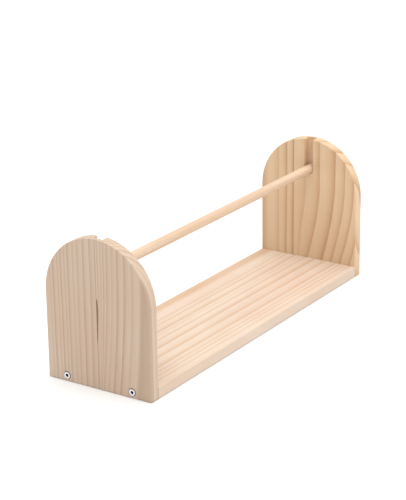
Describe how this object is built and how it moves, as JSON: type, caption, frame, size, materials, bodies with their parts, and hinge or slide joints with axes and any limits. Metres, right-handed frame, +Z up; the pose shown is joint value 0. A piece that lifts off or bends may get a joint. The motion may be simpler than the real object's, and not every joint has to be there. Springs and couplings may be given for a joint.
{
  "type": "spool holder",
  "caption": "Wooden spool holder: a round rod lies in blind slots in two arched end panels screwed to a base board, and lifts straight out.",
  "frame": {"origin": "middle of the base board's underside, on the table", "axes": "+X along the rod towards the right end panel, -Y towards the front, +Z up"},
  "size_m": [0.4048, 0.12, 0.15],
  "materials": {
    "base_pine": "planed and sanded pine, unfinished",
    "panel_pine": "planed and sanded pine, unfinished",
    "rod_wood": "turned and sanded hardwood, unfinished",
    "screw_steel": "bright zinc-plated steel"
  },
  "bodies": {
    "stand": {"base_board": "base_pine", "left_end_panel": "panel_pine", "right_end_panel": "panel_pine", "screw_left_front": "screw_steel", "screw_left_back": "screw_steel", "screw_right_front": "screw_steel", "screw_right_back": "screw_steel"},
    "rod": {"rod": "rod_wood"}
  },
  "joints": [
    {"name": "rod_lift", "type": "slide", "parent": "stand", "child": "rod", "axis": [0, 0, 1], "range_m": [0, 0.06]}
  ]
}
